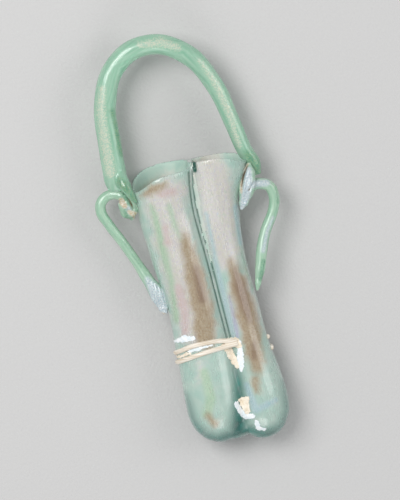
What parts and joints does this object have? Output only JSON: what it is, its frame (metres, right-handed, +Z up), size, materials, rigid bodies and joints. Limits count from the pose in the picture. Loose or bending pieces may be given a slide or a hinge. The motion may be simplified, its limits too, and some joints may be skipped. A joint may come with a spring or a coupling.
{
  "type": "double-tube glass flask with basket handle",
  "caption": "Blown glass flask of two joined tubes with open mouths, a small handle at each side, a wound thread and a tall basket handle.",
  "frame": {"origin": "on the surface that the flask lies on, under the middle of its outline", "axes": "the flask lies on its back: +X across the two tubes, +Y along them towards the mouths and the basket handle, +Z up"},
  "size_m": [0.0704, 0.1622, 0.0246],
  "materials": {
    "pale_green_glass": "blown pale green glass under a weathered, faintly iridescent film",
    "sea_green_glass": "drawn blue-green glass, translucent and streaked",
    "milky_green_glass": "drawn green glass with a milky, silvery film",
    "weathered_thread_glass": "thin glass thread, weathered to an opaque cream"
  },
  "bodies": {
    "root": {"double_tube": "pale_green_glass", "basket_handle": "sea_green_glass", "left_handle": "milky_green_glass", "right_handle": "milky_green_glass", "thread": "weathered_thread_glass"}
  },
  "joints": []
}
